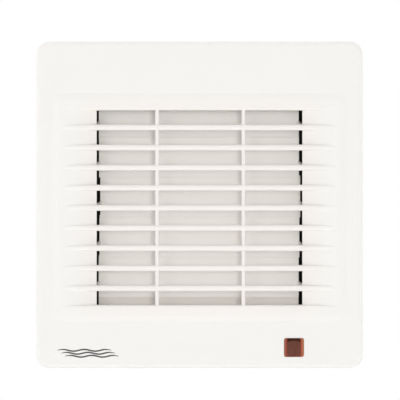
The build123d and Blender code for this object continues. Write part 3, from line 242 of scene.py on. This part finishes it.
def fascia_plastic(name, base, warm):
    """The fascia's moulding, a little warmer in tone over its louvre window and fading out beyond it."""
    made = Surface(name)
    out_x = made.math("ABSOLUTE", made.axis("X"))
    out_z = made.math("ABSOLUTE", made.math("SUBTRACT", made.axis("Z"), WINDOW_MIDDLE))
    beside = made.between(out_x, 1.0, 0.0, WINDOW_HALF[0], WINDOW_HALF[0] + WINDOW_FADE)
    level = made.between(out_z, 1.0, 0.0, WINDOW_HALF[1], WINDOW_HALF[1] + WINDOW_FADE)
    tone = made.mixed(made.math("MULTIPLY", beside, level), base, warm)
    inputs = {0: made.clouds(45 * MM), 6: tone, 7: (0.975, 0.975, 0.975, 1.0)}
    flow = made.add("Mix", inputs, data_type="RGBA", blend_type="MULTIPLY").outputs[2]
    made.feed("Base Color", flow)
    return finish_moulding(made, (0.42, 0.52))


def brushed(name, base, along=(1, 1, 12), gloss=(0.22, 0.4)):
    """Turned or drawn metal with fine lines along one axis."""
    made = Surface(name, Metallic=1.0)
    lines = made.clouds(0.12 * MM, along, 3.0)
    made.feed("Base Color", made.mixed(lines, darker(base, 0.18), base))
    made.feed("Roughness", made.between(lines, *gloss))
    made.relief(lines, 0.004 * MM)
    return made.material


def plated(name, base):
    """Zinc plating: pale spangles over a slightly uneven sheet."""
    made = Surface(name, Metallic=1.0)
    spangle = made.cells(1.6 * MM).outputs["Color"]
    tone = made.add("SeparateColor", {0: spangle}).outputs[0]
    made.feed("Base Color", made.mixed(tone, darker(base, 0.22), base))
    made.feed("Roughness", made.between(tone, 0.28, 0.46, 0.0, 1.0))
    made.relief(made.clouds(0.5 * MM), 0.005 * MM)
    return made.material


def rubbery(name, base):
    made = Surface(name, Specular_IOR_Level=0.35)
    bloom = made.clouds(4 * MM, detail=4.0)
    made.feed("Base Color", made.mixed(bloom, base, [channel + 0.02 for channel in base]))
    made.feed("Roughness", made.between(bloom, 0.6, 0.8))
    made.relief(made.clouds(0.25 * MM), 0.012 * MM)
    return made.material


def foamed(name, base):
    """Open-cell foam: pale struts, with painted shade in the pores between them."""
    made = Surface(name, Roughness=0.95, Specular_IOR_Level=0.2)
    pores = made.cells(0.9 * MM, feature="DISTANCE_TO_EDGE").outputs["Distance"]
    struts = made.between(pores, 1.0, 0.0, 0.02, 0.22)
    # Painted shade: the pores are painted darker than the struts
    made.feed("Base Color", made.mixed(struts, darker(base, 0.75), base))
    made.relief(struts, 0.25 * MM)
    return made.material


def ceramic(name, base):
    """Unglazed extruded ceramic: drawn lines, iron specks and a chalky face."""
    made = Surface(name, Specular_IOR_Level=0.3)
    drawn = made.clouds(0.5 * MM, (1, 40, 1), 3.0)
    body = made.mixed(made.clouds(9 * MM, detail=4.0), darker(base, 0.12), base)
    speck = made.between(made.cells(1.7 * MM).outputs["Distance"], 1.0, 0.0, 0.06, 0.12)
    made.feed("Base Color", made.mixed(speck, body, (0.30, 0.22, 0.15)))
    made.feed("Roughness", made.between(drawn, 0.75, 0.92))
    made.relief(drawn, 0.02 * MM)
    return made.material


def circuit(name, mask, copper):
    """Solder mask over a ground area and tracks, which show as a slightly raised lighter pattern."""
    made = Surface(name)
    flat = made.add("CombineXYZ", {0: made.axis("X"), 1: made.axis("Z")}).outputs[0]
    place = made.add("Mapping", {"Vector": flat, "Scale": (1000, 1000, 1)}).outputs[0]
    inputs = {
        "Vector": place,
        "Scale": 0.32,
        "Mortar Size": 0.06,
        "Mortar Smooth": 0.1,
        "Brick Width": 2.2,
        "Row Height": 0.7,
    }
    tracks = made.add("TexBrick", inputs, offset=0.37, squash=1.6, squash_frequency=3).outputs["Fac"]
    tone = made.mixed(made.clouds(5 * MM), darker(mask, 0.2), mask)
    made.feed("Base Color", made.mixed(tracks, tone, copper))
    made.feed("Roughness", made.between(made.clouds(1.2 * MM), 0.25, 0.4))
    made.relief(tracks, 0.03 * MM)
    return made.material


def wound(name, base):
    """Enamelled wire laid in arcs round the motor's axis."""
    made = Surface(name, Metallic=0.85, Coat_Weight=0.6, Coat_Roughness=0.2)
    inputs = {"Vector": made.place, "Scale": 900.0, "Distortion": 0.6}
    turns = made.add("TexWave", inputs, wave_type="RINGS", rings_direction="Y").outputs["Fac"]
    made.feed("Base Color", made.mixed(turns, darker(base, 0.65), base))
    made.feed("Roughness", made.between(turns, 0.5, 0.28, 0.0, 1.0))
    made.relief(turns, 0.12 * MM)
    return made.material


def laminated(name, base, gap):
    """Stacked sheets pressed together along the motor's axis."""
    made = Surface(name, Metallic=1.0)
    inputs = {"Vector": made.place, "Scale": math.pi / (10 * gap), "Distortion": 0.1}
    sheets = made.add("TexWave", inputs, bands_direction="Y").outputs["Fac"]
    made.feed("Base Color", made.mixed(sheets, darker(base, 0.5), base))
    made.feed("Roughness", made.between(made.clouds(1.0 * MM), 0.35, 0.55))
    made.relief(sheets, 0.05 * MM)
    return made.material


def magnetic(name, base):
    made = Surface(name, Specular_IOR_Level=0.45)
    grain = made.clouds(0.3 * MM, detail=5.0)
    made.feed("Base Color", made.mixed(grain, darker(base, 0.3), base))
    made.feed("Roughness", made.between(grain, 0.45, 0.7))
    made.relief(grain, 0.015 * MM)
    return made.material


def extruded(name, base):
    """Extruded pipe: faint die lines along its length and a soft waxy gloss."""
    made = Surface(name, Subsurface_Weight=0.05, Subsurface_Scale=0.001)
    lines = made.clouds(0.8 * MM, (1, 90, 1), 3.0)
    made.feed("Base Color", made.mixed(made.clouds(30 * MM), darker(base, 0.04), base))
    made.feed("Roughness", made.between(lines, 0.36, 0.5))
    made.relief(lines, 0.01 * MM)
    return made.material


def tinted_lens(name):
    """Amber moulding: solid amber sides round a thin window, which is painted dark as painted shade of the
    hollow behind it, with a painted shadow across its top.
    """
    made = Surface(name, Roughness=0.2, Specular_IOR_Level=0.3)
    low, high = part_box("indicator_lens")
    across = made.math("SUBTRACT", made.axis("X"), (low.x + high.x) / 2 + LENS_WINDOW_SHIFT[0])
    height = made.math("SUBTRACT", made.axis("Z"), (low.z + high.z) / 2 + LENS_WINDOW_SHIFT[1])
    out_x = made.math("ABSOLUTE", across)
    out_z = made.math("ABSOLUTE", height)
    over_x = made.math("MAXIMUM", made.math("SUBTRACT", out_x, LENS_WINDOW_HALF[0] - LENS_ROUNDING), 0.0)
    over_z = made.math("MAXIMUM", made.math("SUBTRACT", out_z, LENS_WINDOW_HALF[1] - LENS_ROUNDING), 0.0)
    corner = made.add("CombineXYZ", {0: over_x, 1: over_z}).outputs[0]
    reach = made.add("VectorMath", {0: corner}, operation="LENGTH").outputs["Value"]
    sides = made.between(reach, 0.0, 1.0, LENS_ROUNDING - LENS_FADE, LENS_ROUNDING + LENS_FADE)
    outer = made.between(reach, 0.0, 1.0, LENS_ROUNDING, LENS_ROUNDING + 4 * LENS_FADE)
    # Painted shadow: a curved dark band across the window's top, under the recess's top edge
    bow = made.math("MULTIPLY", made.math("MULTIPLY", out_x, out_x), LENS_BOW)
    band = made.between(made.math("SUBTRACT", height, bow), 0.0, 1.0, *LENS_SHADOW_BAND)
    streak = made.clouds(1.6 * MM, (1, 1, 2.5), 3.0)
    # Painted shade: the window's dark colour stands for the shaded hollow behind the thin face, with faint
    # streaks
    window = made.mixed(streak, (0.085, 0.030, 0.014), (0.150, 0.048, 0.036))
    window_and_shadow = made.mixed(band, window, (0.034, 0.007, 0.001))
    # The amber is a little brighter towards the right, and a darker red just round the window
    left_share = made.between(across, 1.0, 0.0, -LENS_WINDOW_HALF[0], LENS_WINDOW_HALF[0])
    amber = made.mixed(left_share, (0.385, 0.127, 0.056), (0.295, 0.100, 0.054))
    amber_sides = made.mixed(outer, (0.24, 0.026, 0.020), amber)
    made.feed("Base Color", made.mixed(sides, window_and_shadow, amber_sides))
    made.relief(made.clouds(1.2 * MM), 0.01 * MM)
    return made.material


def lamp_glass(name):
    """Thin tinted glass over the lamp's filament post."""
    made = Surface(name, Roughness=0.08, Transmission_Weight=0.35, IOR=1.5)
    tone = made.clouds(2.0 * MM)
    made.feed("Base Color", made.mixed(tone, (0.55, 0.10, 0.04), (0.75, 0.25, 0.12)))
    made.relief(made.clouds(3.0 * MM), 0.01 * MM)
    return made.material


def capped(name, sleeve, cap, node):
    """A capacitor: shrink sleeve round the can, and a bare metal top."""
    made = Surface(name)
    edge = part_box(node)[0].y + SLEEVE_EDGE
    top = made.between(made.axis("Y"), 1.0, 0.0, edge - 0.05 * MM, edge + 0.05 * MM)
    brushed_tone = made.clouds(0.3 * MM, (6, 1, 1), 3.0)
    metal = made.mixed(brushed_tone, darker(cap, 0.2), cap)
    made.feed("Base Color", made.mixed(top, sleeve, metal))
    made.feed("Metallic", top)
    made.feed("Roughness", made.between(brushed_tone, 0.25, 0.38))
    made.relief(brushed_tone, 0.006 * MM)
    return made.material


def taped(name, base, tape):
    """A potted transformer with a wrapped band of yellow tape."""
    made = Surface(name)
    after_start = made.math("GREATER_THAN", made.axis("X"), TAPE_ENDS[0])
    before_end = made.math("LESS_THAN", made.axis("X"), TAPE_ENDS[1])
    inside = made.math("MULTIPLY", after_start, before_end)
    made.feed("Base Color", made.mixed(inside, base, tape))
    made.feed("Roughness", made.between(inside, 0.5, 0.3, 0.0, 1.0))
    made.relief(made.clouds(0.6 * MM, detail=4.0), 0.02 * MM)
    made.relief(inside, 0.08 * MM)
    return made.material


def insulated(name, live, neutral):
    """Insulated wire. The two mains leads run side by side, told apart by where they lie."""
    made = Surface(name)
    slope = made.math("MULTIPLY", made.math("SUBTRACT", PAIR_TURN_Z, made.axis("Z")), PAIR_SLOPE)
    edge = made.math("ADD", PAIR_MIDDLE_X, made.math("MAXIMUM", slope, 0.0))
    upper = made.math("GREATER_THAN", made.axis("X"), edge)
    lower = made.math("GREATER_THAN", made.axis("Y"), PAIR_MIDDLE_Y)
    on_top = made.math("GREATER_THAN", made.axis("Z"), PAIR_LEVEL_Z)
    side = made.add("Mix", {0: on_top, 2: lower, 3: upper}).outputs[0]
    sheen = made.clouds(2.0 * MM)
    made.feed("Base Color", made.mixed(side, neutral, live))
    made.feed("Roughness", made.between(sheen, 0.35, 0.5))
    made.relief(made.clouds(0.4 * MM), 0.01 * MM)
    return made.material


WHITE = (0.765, 0.752, 0.735)
SLOT_LOOKS = {
    "white_abs": moulded("white_abs_satin", WHITE),
    "black_abs": moulded("black_abs_satin", (0.022, 0.022, 0.023), gloss=(0.48, 0.6)),
    "grey_abs": moulded("grey_abs_fan", (0.10, 0.105, 0.11), gloss=(0.35, 0.48)),
    "acetal": moulded("acetal_natural", (0.70, 0.69, 0.64), gloss=(0.3, 0.42), Subsurface_Weight=0.1),
    "amber_lens": tinted_lens("amber_lens_moulding"),
    "lamp_glass": lamp_glass("lamp_tinted_glass"),
    "steel": brushed("steel_bright", (0.62, 0.62, 0.61), along=(1, 6, 1)),
    "zinc_steel": plated("zinc_plated_steel", (0.60, 0.61, 0.63)),
    "brass_metal": brushed("brass_turned", (0.72, 0.53, 0.25), along=(6, 6, 1)),
    "ferrite": magnetic("ferrite_ring", (0.07, 0.07, 0.075)),
    "copper_wire": wound("copper_enamelled", (0.72, 0.33, 0.17)),
    "circuit_board": circuit("board_green", (0.018, 0.13, 0.05), (0.05, 0.24, 0.09)),
    "component_black": moulded("component_black", (0.03, 0.03, 0.033), gloss=(0.35, 0.5)),
    "rubber_seal": rubbery("rubber_black", (0.025, 0.025, 0.026)),
    "pvc_tube": extruded("pvc_pipe_white", (0.66, 0.665, 0.655)),
    "foam": foamed("foam_grey", (0.17, 0.17, 0.18)),
    "ceramic_core": ceramic("cordierite_core", (0.74, 0.68, 0.58)),
    "wire_pvc": moulded("wire_grey", (0.30, 0.30, 0.31), gloss=(0.35, 0.5)),
}
NODE_LOOKS = {
    "fascia": fascia_plastic("fascia_white", WHITE, (0.765, 0.733, 0.705)),
    "shutter_frame": moulded("shutter_frame_white", (0.79, 0.755, 0.71), gloss=(0.45, 0.58)),
    "stator_core": laminated("stator_sheets", (0.42, 0.43, 0.46), 0.5 * MM),
    "mains_leads": insulated("mains_wire_pair", (0.16, 0.055, 0.02), (0.02, 0.10, 0.42)),
    "smoothing_capacitor": capped(
        "capacitor_sleeve", (0.012, 0.02, 0.055), (0.7, 0.7, 0.7), "smoothing_capacitor"
    ),
    "power_transformer": taped("transformer_taped", (0.03, 0.03, 0.032), (0.62, 0.46, 0.06)),
    "relay": moulded("relay_blue_case", (0.02, 0.09, 0.30), gloss=(0.28, 0.4)),
    "terminal_screws": brushed("terminal_screw_brass", (0.70, 0.54, 0.30), along=(1, 6, 1)),
}
# The upper blades are painted a little darker than the lower ones: painted shade under the fascia's top
# lip
BLADE_WHITE = (0.80, 0.774, 0.738)
BLADE_PAINTED_SHADE = (0.07, 0.025, 0.02, 0.0, 0.0)
for index, top_shade in enumerate(BLADE_PAINTED_SHADE, start=1):
    blade_name = f"shutter_blade_{index}"
    tone = darker(BLADE_WHITE, top_shade)
    NODE_LOOKS[blade_name] = moulded(blade_name + "_white", tone, gloss=(0.4, 0.5), mottle=0.035)


def dress(piece, material):
    piece.data.materials.clear()
    piece.data.materials.append(material)


for row in frame["record"]["subparts"]:
    look = NODE_LOOKS.get(row["node"], SLOT_LOOKS[row["material_slot"]])
    dress(frame["nodes"][row["node"]], look)


# ---------------------------------------------------------------- pieces made here
def add_piece(name, mesh, material):
    piece = bpy.data.objects.new(name, mesh)
    bpy.context.scene.collection.objects.link(piece)
    mesh.materials.append(material)
    return piece


def new_piece(name, points, faces, material, smooth=True):
    mesh = bpy.data.meshes.new(name)
    mesh.from_pydata(points, [], faces)
    mesh.update()
    if smooth:
        mesh.shade_smooth()
    return add_piece(name, mesh, material)


def ribbon(centres, normals, half, back, front):
    """Points and faces of a flat stroke in the XZ plane, with ink thickness from back to front."""
    points = []
    for (x, z), (across_x, across_z), width in zip(centres, normals, half):
        for side in (-1, 1):
            for y in (back, front):
                points.append((x + side * across_x * width, y, z + side * across_z * width))
    faces = []
    for step in range(len(centres) - 1):
        a = 4 * step
        faces += [(a + 1, a + 3, a + 7, a + 5), (a, a + 4, a + 6, a + 2)]
        faces += [(a, a + 1, a + 5, a + 4), (a + 2, a + 6, a + 7, a + 3)]
    last = 4 * (len(centres) - 1)
    faces += [(0, 2, 3, 1), (last, last + 1, last + 3, last + 2)]
    return points, faces


def airflow_mark():
    """Three printed wave strokes with tapered ends, a plain sign for moving air."""
    ink = moulded("printed_ink_grey", (0.075, 0.072, 0.070), gloss=(0.4, 0.5), depth=0.002 * MM)
    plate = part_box("fascia")[0].y + PAD_RAISE
    turns = 2 * math.pi * MARK_WAVES
    length = MARK_LENGTH - 2 * MARK_STAGGER
    points = []
    faces = []
    for row, offset in enumerate(MARK_ROWS):
        centres = []
        normals = []
        half = []
        shift = (row - 1) * MARK_STAGGER
        for step in range(MARK_STEPS + 1):
            share = step / MARK_STEPS
            angle = share * turns
            x = MARK_MIDDLE[0] + (share - 0.5) * length + shift
            z = MARK_MIDDLE[1] + offset + MARK_WAVE * math.sin(angle)
            slope = MARK_WAVE * math.cos(angle) * turns / length
            size = math.hypot(1, slope)
            centres.append((x, z))
            normals.append((-slope / size, 1 / size))
            taper = min(1.0, MARK_TAPER * share + 0.05, MARK_TAPER * (1 - share) + 0.05)
            half.append(MARK_STROKE / 2 * math.sqrt(taper))
        row_points, row_faces = ribbon(centres, normals, half, plate + MARK_INK, plate - MARK_INK)
        faces += [tuple(len(points) + corner for corner in face) for face in row_faces]
        points += row_points
    mark = new_piece("airflow_mark", points, faces, ink, smooth=False)
    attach(mark, "fascia")


def coil_spring():
    """The compression spring under the link bar, with closed ends, fitted to the return spring's box."""
    low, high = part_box("return_spring")
    centre_x = (low.x + high.x) / 2
    centre_y = (low.y + high.y) / 2
    radius = (high.x - low.x) / 2 - SPRING_WIRE
    bottom = low.z + SPRING_WIRE
    top = high.z - SPRING_WIRE
    closed_rise = 2 * SPRING_WIRE * 1.05
    steps = SPRING_TURNS * SPRING_STEPS
    points = []
    for step in range(steps + 1):
        turn = step / SPRING_STEPS
        if turn < SPRING_CLOSED_TURNS:
            z = bottom + closed_rise * turn / SPRING_CLOSED_TURNS
        elif turn > SPRING_TURNS - SPRING_CLOSED_TURNS:
            z = top - closed_rise * (SPRING_TURNS - turn) / SPRING_CLOSED_TURNS
        else:
            share = (turn - SPRING_CLOSED_TURNS) / (SPRING_TURNS - 2 * SPRING_CLOSED_TURNS)
            z = bottom + closed_rise + share * (top - bottom - 2 * closed_rise)
        angle = 2 * math.pi * turn
        outward = Vector((math.cos(angle), math.sin(angle), 0))
        middle = Vector((centre_x, centre_y, z)) + radius * outward
        for side in range(SPRING_SIDES):
            around = 2 * math.pi * side / SPRING_SIDES
            offset = outward * math.cos(around) + Vector((0, 0, 1)) * math.sin(around)
            points.append(middle + SPRING_WIRE * offset)
    faces = []
    for step in range(steps):
        for side in range(SPRING_SIDES):
            a = step * SPRING_SIDES + side
            b = step * SPRING_SIDES + (side + 1) % SPRING_SIDES
            faces.append((a, a + SPRING_SIDES, b + SPRING_SIDES, b))
    faces.append(tuple(range(SPRING_SIDES)))
    faces.append(tuple(steps * SPRING_SIDES + side for side in reversed(range(SPRING_SIDES))))
    wire = brushed("spring_wire", (0.55, 0.56, 0.58), along=(1, 1, 1), gloss=(0.2, 0.34))
    spring = new_piece("return_spring_coil", points, faces, wire)
    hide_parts("return_spring")
    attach(spring, "unit")
    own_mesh(spring)


def rounded_profile(corners, closed, step=0.9 * MM, passes=2):
    """Evenly spaced points along (radius, depth) corners, with the corners softened."""
    runs = list(zip(corners, corners[1:] + corners[:1] if closed else corners[1:]))
    points = []
    for (r0, y0), (r1, y1) in runs:
        count = max(1, round(math.hypot(r1 - r0, y1 - y0) / step))
        points += [(r0 + (r1 - r0) * i / count, y0 + (y1 - y0) * i / count) for i in range(count)]
    if not closed:
        points.append(corners[-1])
    for _ in range(passes):
        softened = list(points)
        for i in range(0 if closed else 1, len(points) if closed else len(points) - 1):
            before = points[i - 1]
            after = points[(i + 1) % len(points)]
            softened[i] = tuple((before[k] + 2 * points[i][k] + after[k]) / 4 for k in range(2))
        points = softened
    return points


def turned_foam(name, node, corners, closed, segments):
    """A foam piece turned about the duct's axis, with open pores pressed into its skin."""
    profile = rounded_profile(corners, closed)
    mesh = bmesh.new()
    rings = []
    for r, y in profile:
        if r < 0.01 * MM:
            rings.append([mesh.verts.new((0, y, 0))])
            continue
        angles = [2 * math.pi * s / segments for s in range(segments)]
        rings.append([mesh.verts.new((r * math.cos(a), y, r * math.sin(a))) for a in angles])
    pairs = list(zip(rings, rings[1:] + rings[:1] if closed else rings[1:]))
    for first, second in pairs:
        for s in range(segments):
            t = (s + 1) % segments
            if len(first) == 1:
                mesh.faces.new((first[0], second[t], second[s]))
            elif len(second) == 1:
                mesh.faces.new((first[s], first[t], second[0]))
            else:
                mesh.faces.new((first[s], first[t], second[t], second[s]))
    bmesh.ops.recalc_face_normals(mesh, faces=mesh.faces)
    mesh.normal_update()
    moves = []
    for vert in mesh.verts:
        near = noise.voronoi(vert.co / PORE_SIZE)[0][0]
        moves.append(vert.co - vert.normal * PORE_DEPTH * max(0.0, 1 - 2.2 * near))
    for vert, place in zip(mesh.verts, moves):
        vert.co = place
    data = bpy.data.meshes.new(name)
    mesh.to_mesh(data)
    mesh.free()
    data.shade_smooth()
    piece = add_piece(name, data, SLOT_LOOKS["foam"])
    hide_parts(node)
    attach(piece, "unit")


def filter_pad():
    """The filter's round pad, a little fuller in the middle than at its rim."""
    low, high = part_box("filter_foam")
    radius = (high.x - low.x) / 2
    corners = [
        (0.0, low.y),
        (radius * 0.6, low.y),
        (radius * 0.9, low.y + 0.35 * PAD_RIM),
        (radius, low.y + PAD_RIM),
        (radius, high.y - PAD_RIM),
        (radius * 0.9, high.y - 0.35 * PAD_RIM),
        (radius * 0.6, high.y),
        (0.0, high.y),
    ]
    turned_foam("filter_foam_pad", "filter_foam", corners, False, 300)


def sleeve_pad():
    """The soft sleeve that wedges the ceramic core in the tube."""
    low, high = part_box("core_sleeve")
    core_low, core_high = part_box("regenerator_core")
    inner = (core_high.x - core_low.x) / 2 + 0.1 * MM
    outer = (high.x - low.x) / 2
    corners = [(inner, low.y), (outer, low.y), (outer, high.y), (inner, high.y)]
    turned_foam("core_sleeve_foam", "core_sleeve", corners, True, 260)


airflow_mark()
coil_spring()
filter_pad()
sleeve_pad()


# ---------------------------------------------------------------- stage, light and camera
def pale_floor():
    made = Surface("floor_pale")
    made.feed("Base Color", made.mixed(made.clouds(0.4), (0.86, 0.86, 0.85), (0.90, 0.90, 0.89)))
    made.feed("Roughness", made.between(made.clouds(0.1), 0.7, 0.85))
    height = cad_box[0].z - FLOOR_DROP
    corners = [(x * FLOOR_HALF, y * FLOOR_HALF, height) for x, y in ((-1, -1), (1, -1), (1, 1), (-1, 1))]
    floor = new_piece("floor", corners, [(0, 1, 2, 3)], made.material, smooth=False)


def disk_light(name, place, size, power, in_gloss):
    data = bpy.data.lights.new(name, "AREA")
    data.shape = "DISK"
    data.size = size
    data.energy = power
    light = bpy.data.objects.new(name, data)
    light.location = place
    light.rotation_euler = (-Vector(place)).to_track_quat("-Z", "Y").to_euler()
    light.visible_glossy = in_gloss
    bpy.context.scene.collection.objects.link(light)


def soft_light():
    """The room is shown white, and shines more from behind the object than from in front of it."""
    world = bpy.data.worlds.new("white_room")
    world.use_nodes = True
    tree = world.node_tree
    background = tree.nodes["Background"]
    background.inputs["Color"].default_value = (1, 1, 1, 1)
    direction = tree.nodes.new("ShaderNodeTexCoord")
    parts = tree.nodes.new("ShaderNodeSeparateXYZ")
    room = tree.nodes.new("ShaderNodeMapRange")
    room.inputs["From Min"].default_value = ROOM_TURN[0]
    room.inputs["From Max"].default_value = ROOM_TURN[1]
    room.inputs["To Min"].default_value = ROOM_BEFORE
    room.inputs["To Max"].default_value = ROOM_BEHIND
    path = tree.nodes.new("ShaderNodeLightPath")
    strength = tree.nodes.new("ShaderNodeMapRange")
    strength.inputs["To Max"].default_value = ROOM_SHOWN
    tree.links.new(direction.outputs["Generated"], parts.inputs[0])
    tree.links.new(parts.outputs["Y"], room.inputs["Value"])
    tree.links.new(room.outputs["Result"], strength.inputs["To Min"])
    tree.links.new(path.outputs["Is Camera Ray"], strength.inputs["Value"])
    tree.links.new(strength.outputs["Result"], background.inputs["Strength"])
    bpy.context.scene.world = world
    disk_light("key", KEY_PLACE, KEY_SIZE, KEY_POWER, True)
    disk_light("fill", FILL_PLACE, FILL_SIZE, FILL_POWER, False)


def straight_camera():
    data = bpy.data.cameras.new("camera")
    data.sensor_width = SENSOR
    data.lens = SENSOR * CAMERA_DISTANCE / VIEW_WIDTH
    data.clip_start = 0.01
    data.clip_end = 100.0
    camera = bpy.data.objects.new("camera", data)
    camera.location = (CAMERA_AIM[0], cad_box[0].y - CAMERA_DISTANCE, CAMERA_AIM[1])
    camera.rotation_euler = (math.radians(90), 0, 0)
    bpy.context.scene.collection.objects.link(camera)
    bpy.context.scene.camera = camera


pale_floor()
soft_light()
straight_camera()
bpy.context.scene.view_settings.view_transform = "Standard"
